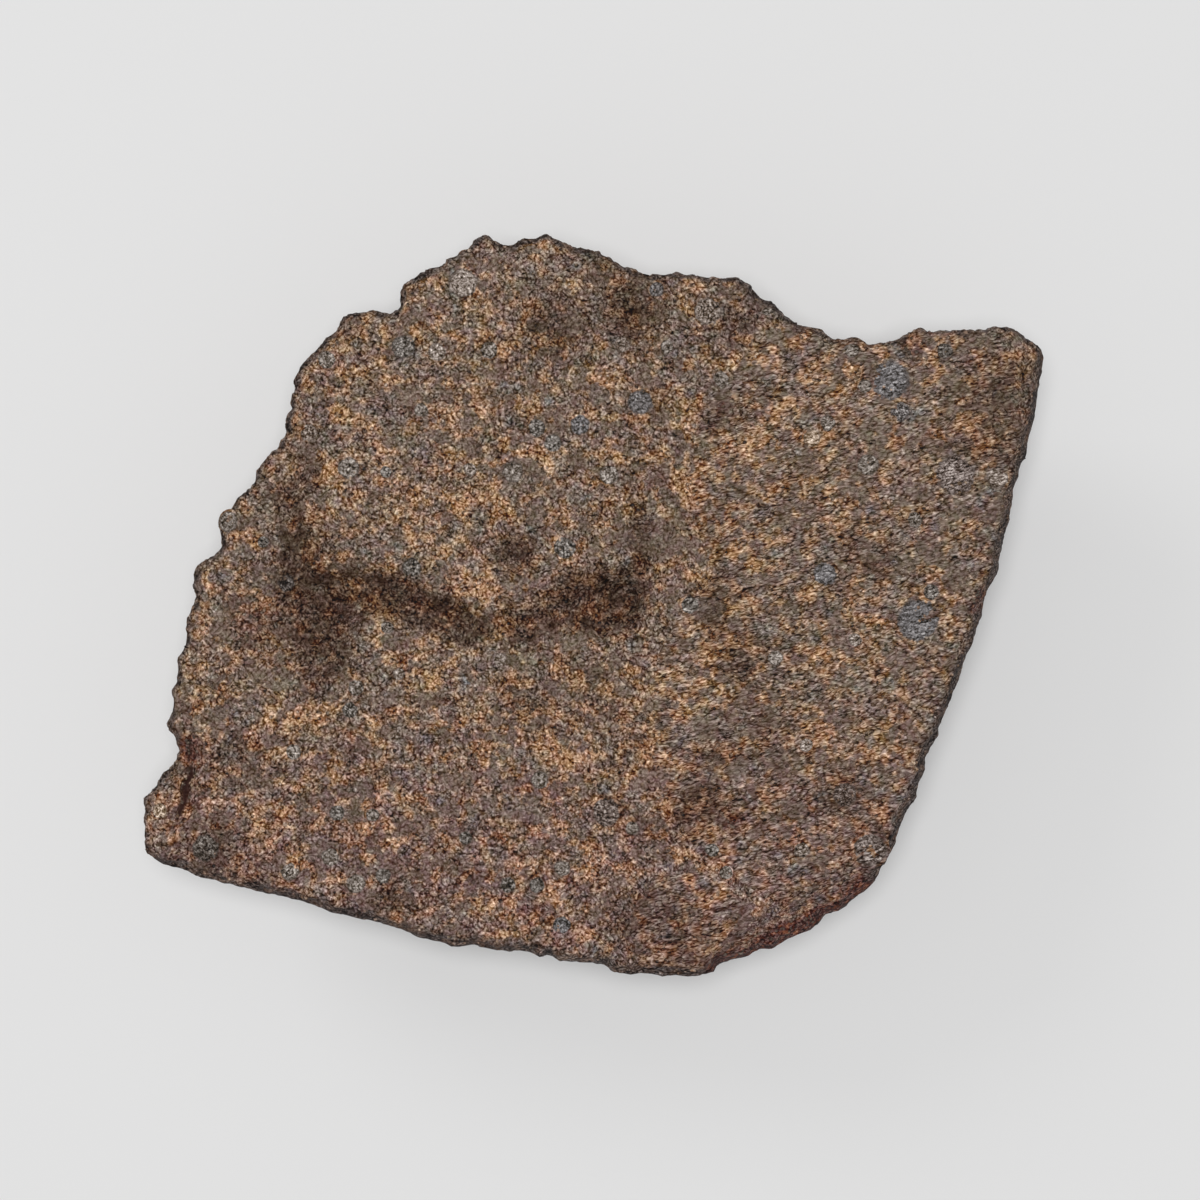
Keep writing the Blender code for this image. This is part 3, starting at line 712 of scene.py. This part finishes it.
def make_chondrules(surface, material):
    """The larger chondrules, each where the photograph shows it, lying on the face."""
    points = []
    radii = []
    kinds = []
    slopes = []
    for x, y, radius, kind in CHONDRULES:
        across, up = pixel_to_mm(x, y)
        height, slope = bed_under(surface, across, up, 0.7 * radius / PIXELS_PER_MM)
        points.append((across, up, height))
        radii.append(BEAD_MARGIN * radius / PIXELS_PER_MM)
        kinds.append(kind)
        slopes.extend(slope)
    mesh = bpy.data.meshes.new("chondrule_places")
    mesh.from_pydata(points, [], [])
    set_attribute(mesh, "radius", radii)
    set_attribute(mesh, "kind", kinds)
    mesh.attributes.new("slope", "FLOAT_VECTOR", "POINT").data.foreach_set("vector", slopes)
    places = np.array(points)[:, :2]
    for name, values in face_marks(places, places, np.ones(len(places))).items():
        set_attribute(mesh, name, values)
    beads = new_piece("chondrules", mesh)
    add_shape_modifier(beads, chondrule_tree(material), BEAD_SIZES)
    made_plain(beads)
    return finished(beads)


def grain_tree(material, stone_attribute):
    """Small angular crumbs scattered over the face, sunk into it to about half their height."""
    tree, given, result = shape_tree("mineral_grains", CRUMB_SIZES)
    face = add_node(
        tree, "GeometryNodeInputNamedAttribute", {"Name": stone_attribute}, data_type="FLOAT"
    ).outputs[0]
    density = maths(tree, "MULTIPLY", face, given["Crumbs For Each Square"])
    spread = add_node(tree, "GeometryNodeDistributePointsOnFaces", {
        "Mesh": given["Geometry"], "Density": density, "Seed": given["Seed"],
    }, distribute_method="RANDOM")
    kind = random_number(tree, 0.0, 1.0, maths(tree, "ADD", given["Seed"], 1.0))
    points = add_node(
        tree, "GeometryNodeStoreNamedAttribute",
        {"Geometry": spread.outputs["Points"], "Name": "kind", "Value": kind},
        data_type="FLOAT", domain="POINT",
    ).outputs[0]
    chip = add_node(tree, "GeometryNodeMeshIcoSphere", {"Radius": 1.0, "Subdivisions": 1}).outputs[0]
    width = add_node(tree, "FunctionNodeRandomValue", {"Seed": 17}, data_type="FLOAT")
    tree.links.new(given["Smallest"], width.inputs[2])
    tree.links.new(given["Largest"], width.inputs[3])
    length = maths(tree, "MULTIPLY", width.outputs[1], random_number(tree, 0.7, 1.4, 23))
    height = maths(tree, "MULTIPLY", width.outputs[1], given["Height"])
    scale = add_node(tree, "ShaderNodeCombineXYZ", {0: width.outputs[1], 1: length, 2: height}).outputs[0]
    turn = add_node(
        tree, "ShaderNodeCombineXYZ", {2: random_number(tree, 0.0, 2.0 * math.pi, 31)}
    ).outputs[0]
    placed = add_node(tree, "GeometryNodeInstanceOnPoints", {
        "Points": points, "Instance": chip, "Scale": scale, "Rotation": turn,
    }).outputs[0]
    finish_shape_tree(tree, placed, result, material, given["Wobble"], given["Wobble Size"])
    return tree


def make_grains(stone, material):
    grains = new_piece("mineral_grains", stone.data.copy())
    add_shape_modifier(grains, grain_tree(material, "face"), CRUMB_SIZES)
    made_plain(grains)
    return finished(grains)


# Materials


def seen(red, green, blue):
    """A colour as it is seen on a screen, from 0 to 255, brought to 0 to 1."""
    return (red / 255.0, green / 255.0, blue / 255.0, 1.0)


def ramp(tree, value, stops, interpolation="LINEAR"):
    """A colour ramp through stops of position and seen colour."""
    node = add_node(tree, "ShaderNodeValToRGB", {0: value})
    node.color_ramp.interpolation = interpolation
    while len(node.color_ramp.elements) < len(stops):
        node.color_ramp.elements.new(0.5)
    for element, (position, colour) in zip(node.color_ramp.elements, stops):
        element.position = position
        element.color = seen(*colour)
    return node.outputs[0]


def mixed(tree, share, first, second, blend="MIX"):
    node = add_node(tree, "ShaderNodeMix", data_type="RGBA", blend_type=blend, clamp_factor=True)
    for index, value in ((0, share), (6, first), (7, second)):
        if isinstance(value, bpy.types.NodeSocket):
            tree.links.new(value, node.inputs[index])
        else:
            node.inputs[index].default_value = value
    return node.outputs[2]


def new_material(name):
    material = bpy.data.materials.new(name)
    material.use_nodes = True
    tree = material.node_tree
    shader = tree.nodes["Principled BSDF"]
    place = add_node(tree, "ShaderNodeTexCoord").outputs["Object"]
    place = vector_maths(tree, "SCALE", place, scale=1.0 / MM)
    return material, tree, shader, place


def waves(tree, place, levels):
    """The sum of plain noise waves, each given as its waves to a millimetre and its strength."""
    total = 0.0
    for scale, strength in levels:
        height = maths(tree, "SUBTRACT", noise_value(tree, place, scale, 0.0), 0.5)
        total = maths(tree, "MULTIPLY_ADD", height, strength, total)
    return total


def winding_lines(tree, place, lines):
    """Thin winding lines, dark or light, along the places where a noise wave crosses zero."""
    total = 0.0
    for index, (scale, width, strength) in enumerate(lines):
        moved = vector_maths(tree, "ADD", place, (7.3 * index, 3.1 * index, 1.7 * index))
        away = maths(tree, "ABSOLUTE", maths(tree, "SUBTRACT", noise_value(tree, moved, scale, 0.0), 0.5))
        line = ranged(tree, away, 0.0, width, 0.7 * strength, -0.3 * strength)
        total = maths(tree, "ADD", line, total)
    return total


def thread_level(tree, place):
    """The brightness that grit and threads add to a seen colour, drawn out where the face is sawn."""
    turned = add_node(
        tree, "ShaderNodeVectorRotate", {"Vector": place, "Angle": -SAW_ANGLE}, rotation_type="Z_AXIS"
    ).outputs[0]
    drawn_out = vector_maths(tree, "MULTIPLY", turned, STREAK_STRETCH)
    is_sawn = maths(tree, "GREATER_THAN", mark_value(tree, "sawn"), 0.5)
    grain = add_node(
        tree, "ShaderNodeMix", {0: is_sawn, 4: place, 5: drawn_out}, data_type="VECTOR"
    ).outputs[1]
    level = maths(tree, "ADD", waves(tree, grain, GRIT), winding_lines(tree, grain, THREADS))
    return maths(tree, "DIVIDE", level, 255.0)


def lightened(tree, colour, level):
    """A seen colour with a brightness added to red, green and blue, the dark a little browner."""
    when_dark = maths(tree, "MULTIPLY", level, 1.12)
    when_light = maths(tree, "MULTIPLY", level, 0.98)
    blue = maths(tree, "MINIMUM", when_dark, when_light)
    grey = add_node(tree, "ShaderNodeCombineXYZ", {0: level, 1: level, 2: blue}).outputs[0]
    return vector_maths(tree, "ADD", colour, grey)


def shaded(tree, colour, share):
    return vector_maths(tree, "SCALE", colour, scale=share)


def paint(tree, shader, colour):
    """Turns a seen colour into the light that the surface gives back."""
    held = vector_maths(tree, "MAXIMUM", colour, (0.03, 0.025, 0.02))
    light = add_node(tree, "ShaderNodeGamma", {0: held, 1: 2.2}).outputs[0]
    tree.links.new(light, shader.inputs["Base Color"])


def bent_place(tree, place):
    """The place pushed about by noise, so that grains get uneven outlines."""
    push = noise_value(tree, place, 2.5, 2.0, 0.6, colour=True)
    push = vector_maths(tree, "SUBTRACT", push, (0.5, 0.5, 0.5))
    return vector_maths(tree, "ADD", place, vector_maths(tree, "SCALE", push, scale=0.4))


def patches(tree, place, grains):
    """Some of the cells of a crazed pattern, each an angular patch, and the random numbers of each cell."""
    scale, chosen = grains
    random = cells(tree, place, scale)[1]
    return maths(tree, "LESS_THAN", random[0], chosen), random


def small_beads(tree, place, beads):
    """Round spots the size of small chondrules, from 0 to 1."""
    scale, chosen = beads
    gap, random = cells(tree, place, scale)
    width = ranged(tree, random[1], 0.0, 1.0, *BEAD_WIDTHS)
    inside = ranged(tree, maths(tree, "SUBTRACT", width, gap), 0.0, 0.04)
    return maths(tree, "MULTIPLY", inside, maths(tree, "LESS_THAN", random[0], chosen))


def golden_shift(tree, place):
    """A little green added or taken away: golden crumbs, and a redder ground low on the face."""
    split = add_node(tree, "ShaderNodeSeparateXYZ", {0: place}).outputs
    redder = ranged(tree, split[1], REDDENED_FROM, REDDENED_TO, 0.0, REDDENING)
    moved = vector_maths(tree, "ADD", place, (3.9, 17.1, 8.3))
    shift = maths(tree, "ADD", waves(tree, moved, GOLDEN_WAVES), redder)
    shift = maths(tree, "DIVIDE", shift, 255.0)
    return add_node(tree, "ShaderNodeCombineXYZ", {0: 0.0, 1: shift, 2: 0.0}).outputs[0]


def moved_by(tree, value, share, reach):
    """The value plus a share of a reach."""
    return maths(tree, "MULTIPLY_ADD", share, reach, value)


def ground_hue(tree, place):
    """The ground's hue from place to place, and where its flat mauve-grey grains are."""
    bent = bent_place(tree, place)
    hue = waves(tree, vector_maths(tree, "ADD", place, (31.7, 11.3, 5.1)), HUE_WAVES)
    hue = maths(tree, "ADD", hue, HUE_MIDDLE)
    small, crumb = patches(tree, bent, SMALL_GRAINS)
    hue = moved_by(tree, hue, maths(tree, "SUBTRACT", crumb[1], 0.5), CRUMB_HUE)
    hue = moved_by(tree, hue, mark_value(tree, "ochre"), OCHRE_HUE)
    hue = moved_by(tree, hue, mark_value(tree, "greyed"), GREYED_HUE)
    hue = moved_by(tree, hue, small_beads(tree, bent, LARGE_BEADS), LARGE_BEAD_HUE)
    hue = moved_by(tree, hue, small_beads(tree, bent, SMALL_BEADS), SMALL_BEAD_HUE)

    large, kind = patches(tree, bent, LARGE_GRAINS)
    flats = maths(tree, "MAXIMUM", large, small)
    fading = ranged(tree, hue, GRAINS_UP_TO_HUE, GRAINS_NONE_FROM_HUE, 1.0, 0.0)
    flats = maths(tree, "MULTIPLY", flats, fading)
    flat_hue = ranged(tree, kind[1], 0.0, 1.0, *GRAIN_HUES)
    pull = maths(tree, "MULTIPLY", flats, GRAIN_PULL)
    hue = moved_by(tree, hue, maths(tree, "SUBTRACT", flat_hue, hue), pull)
    return maths(tree, "MAXIMUM", hue, moved_by(tree, GREYEST, hue, GREYEST_SLOPE)), flats


def matrix_colour(tree, place):
    """The ground between chondrules: ochre and brown crumbs, mauve-grey flat grains, small grey beads."""
    hue, flats = ground_hue(tree, place)
    stops = [(at / HUE_SPAN, tint) for at, tint in GROUND]
    ground = ramp(tree, maths(tree, "DIVIDE", hue, HUE_SPAN), stops)
    ground = vector_maths(tree, "ADD", ground, golden_shift(tree, place))
    contrast = ranged(tree, hue, *CONTRAST_HUES, *CONTRASTS)
    flat_calm = ranged(tree, flats, 0.0, 1.0, 1.0, FLAT_SHARE)
    stain_and_shade_calm = ranged(tree, mark_value(tree, "stain_and_shade"), 0.0, 1.0, 1.0, STAIN_AND_SHADE_CALM)
    contrast = maths(tree, "MULTIPLY", maths(tree, "MULTIPLY", contrast, flat_calm), stain_and_shade_calm)
    level = maths(tree, "MULTIPLY", thread_level(tree, place), contrast)
    return lightened(tree, stained_and_shaded(tree, place, ground), level), level


def stained_and_shaded(tree, place, colour):
    """The colour, darker and browner where the stone is stained, and where shade is painted into the trench.
    """
    patchy = ranged(tree, noise_value(tree, place, 2.6, 2.0, 0.6), 0.36, 0.6, 0.5, 1.35)
    stain_and_shade = maths(tree, "MULTIPLY", mark_value(tree, "stain_and_shade"), patchy, clamp=True)
    return mixed(tree, stain_and_shade, colour, mixed(tree, 1.0, colour, STAIN_AND_SHADE_TINT, "MULTIPLY"))


def mark_value(tree, name):
    node = add_node(tree, "ShaderNodeAttribute", attribute_name=name, attribute_type="GEOMETRY")
    return node.outputs["Fac"]


def fine_bump(tree, place, shader, distance):
    height = noise_value(tree, place, BUMP_SCALE, 0.0)
    bump = add_node(tree, "ShaderNodeBump", {"Height": height, "Strength": 0.6, "Distance": distance})
    tree.links.new(bump.outputs[0], shader.inputs["Normal"])


def stone_material():
    """Weathered chondrite, stained, rusted and crusted where the stone is marked so, with painted shade in
    the trench and on the rim.
    """
    material, tree, shader, place = new_material("weathered_chondrite")
    colour, threads = matrix_colour(tree, place)

    rust_hue = noise_value(tree, place, 2.6, 2.0, 0.6)
    rust = ramp(tree, rust_hue, ((0.36, (46, 26, 26)), (0.52, (74, 39, 35)), (0.64, (124, 74, 52))))
    rust = lightened(tree, rust, maths(tree, "MULTIPLY", threads, 0.8))
    rusty = ranged(tree, rust_hue, 0.36, 0.5, 0.6, 1.0)
    colour = mixed(tree, maths(tree, "MULTIPLY", mark_value(tree, "rust"), rusty), colour, rust)
    colour = mixed(tree, mark_value(tree, "crack"), colour, seen(52, 30, 25))

    crust_hue = noise_value(tree, place, 1.4, 3.0, 0.65)
    # The crust's dark colour also paints the shade on the rim
    crust_and_shade = ramp(tree, crust_hue, (
        (0.3, (44, 38, 39)), (0.5, (62, 52, 49)), (0.62, (86, 66, 55)), (0.75, (106, 78, 62)),
    ))
    crust_and_shade = lightened(tree, crust_and_shade, maths(tree, "MULTIPLY", threads, 0.8))
    colour = mixed(tree, mark_value(tree, "crust_and_shade"), colour, crust_and_shade)
    paint(tree, shader, colour)

    rough = ranged(tree, rust_hue, 0.3, 0.7, 0.72, 0.95)
    tree.links.new(rough, shader.inputs["Roughness"])
    shader.inputs["Specular IOR Level"].default_value = 0.25
    fine_bump(tree, place, shader, 0.00005)
    return material


def chondrule_material():
    """Chondrules: grey, blue-grey, mauve or cream crystals, fading unevenly into the ground round them."""
    material, tree, shader, place = new_material("chondrule_minerals")
    kind = mark_value(tree, "kind")
    away = mark_value(tree, "from_middle")
    ground, threads = matrix_colour(tree, place)
    colour = ramp(tree, kind, KIND_COLOURS, "CONSTANT")
    level = maths(tree, "DIVIDE", winding_lines(tree, place, BEAD_THREADS), 255.0)
    level = maths(tree, "ADD", level, threads)
    level = maths(tree, "MULTIPLY", level, ranged(tree, kind, BLUE, DARK, 0.8, 1.0))
    colour = lightened(tree, stained_and_shaded(tree, place, colour), level)
    wander = noise_value(tree, place, 3.5, 3.0, 0.65)
    edge = maths(tree, "MULTIPLY_ADD", wander, 0.5, maths(tree, "SUBTRACT", away, 0.25))
    rim = ranged(tree, edge, 0.66, 0.74)
    colour = mixed(tree, maths(tree, "MULTIPLY", rim, 0.4), colour, seen(60, 50, 45))
    colour = mixed(tree, ranged(tree, edge, 0.76, 0.86), colour, ground)
    paint(tree, shader, colour)
    rough = ranged(tree, wander, 0.3, 0.7, 0.65, 0.9)
    tree.links.new(rough, shader.inputs["Roughness"])
    shader.inputs["Specular IOR Level"].default_value = 0.25
    fine_bump(tree, place, shader, 0.00004)
    return material


def grain_material():
    """Crumbs of the ground, each a little darker, lighter, greyer or more ochre than what it lies on."""
    material, tree, shader, place = new_material("mineral_crumbs")
    kind = mark_value(tree, "kind")
    ground, threads = matrix_colour(tree, place)
    own = ramp(tree, kind, (
        (0.0, (74, 58, 48)), (0.2, (98, 82, 71)), (0.42, (112, 97, 88)), (0.6, (128, 104, 84)),
        (0.8, (146, 118, 94)), (0.94, (172, 152, 128)),
    ), "CONSTANT")
    own = lightened(tree, stained_and_shaded(tree, place, own), threads)
    colour = mixed(tree, 0.5, ground, own)
    colour = mixed(tree, mark_value(tree, "rust"), colour, shaded(tree, colour, 0.6))
    paint(tree, shader, colour)
    rough = ranged(tree, threads, -0.15, 0.15, 0.65, 0.9)
    tree.links.new(rough, shader.inputs["Roughness"])
    return material


def floor_material():
    material, tree, shader, place = new_material("pale_floor")
    cloudy = noise_value(tree, place, 0.01, 2.0)
    paint(tree, shader, ramp(tree, cloudy, ((0.3, (232, 232, 232)), (0.7, (234, 234, 234)))))
    shader.inputs["Roughness"].default_value = 0.9
    return material


# The studio


def make_floor():
    mesh = bpy.data.meshes.new("floor")
    half = 1.2
    corners = [(-half, -half, 0), (half, -half, 0), (half, half, 0), (-half, half, 0)]
    mesh.from_pydata(corners, [], [(0, 1, 2, 3)])
    floor = new_piece("floor", mesh)
    mesh.materials.append(floor_material())


def make_lamp(name, place, size, power):
    lamp = bpy.data.lights.new(name, "AREA")
    lamp.shape = "DISK"
    lamp.size = size
    lamp.energy = power
    holder = bpy.data.objects.new(name, lamp)
    holder.location = place
    holder.rotation_euler = (-Vector(place)).to_track_quat("-Z", "Y").to_euler()
    bpy.context.scene.collection.objects.link(holder)


def make_light():
    world = bpy.data.worlds.new("studio")
    world.use_nodes = True
    world.node_tree.nodes["Background"].inputs[0].default_value = (1.0, 1.0, 1.0, 1.0)
    world.node_tree.nodes["Background"].inputs[1].default_value = 0.24
    bpy.context.scene.world = world
    make_lamp("overhead_softbox", (-0.01, 0.015, 0.6), 0.16, 2.25)
    make_lamp("upper_left_softbox", (-0.35, 0.3, 0.35), 0.25, 0.4)


def make_camera():
    lens = 120.0
    face_height = 0.013
    across = PICTURE_WIDTH / PIXELS_PER_MM * MM
    camera = bpy.data.cameras.new("camera")
    camera.lens = lens
    camera.sensor_width = 36.0
    holder = bpy.data.objects.new("camera", camera)
    middle = pixel_to_mm(*PICTURE_CENTRE_PIXEL)
    holder.location = (middle[0] * MM, middle[1] * MM, face_height + across * lens / camera.sensor_width)
    camera.clip_start = 0.01
    camera.clip_end = 10.0
    bpy.context.scene.collection.objects.link(holder)
    bpy.context.scene.camera = holder


def build():
    noise.seed_set(NOISE_SEED)
    make_floor()
    make_light()
    make_camera()
    bpy.context.scene.view_settings.view_transform = "Standard"
    stone = make_stone()
    stone.data.materials.clear()
    stone.data.materials.append(stone_material())
    shell = bmesh.new()
    shell.from_mesh(stone.data)
    surface = BVHTree.FromBMesh(shell)
    shell.free()
    make_chondrules(surface, chondrule_material())
    make_grains(stone, grain_material())
    finished(stone)
    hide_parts("meteorite")


build()
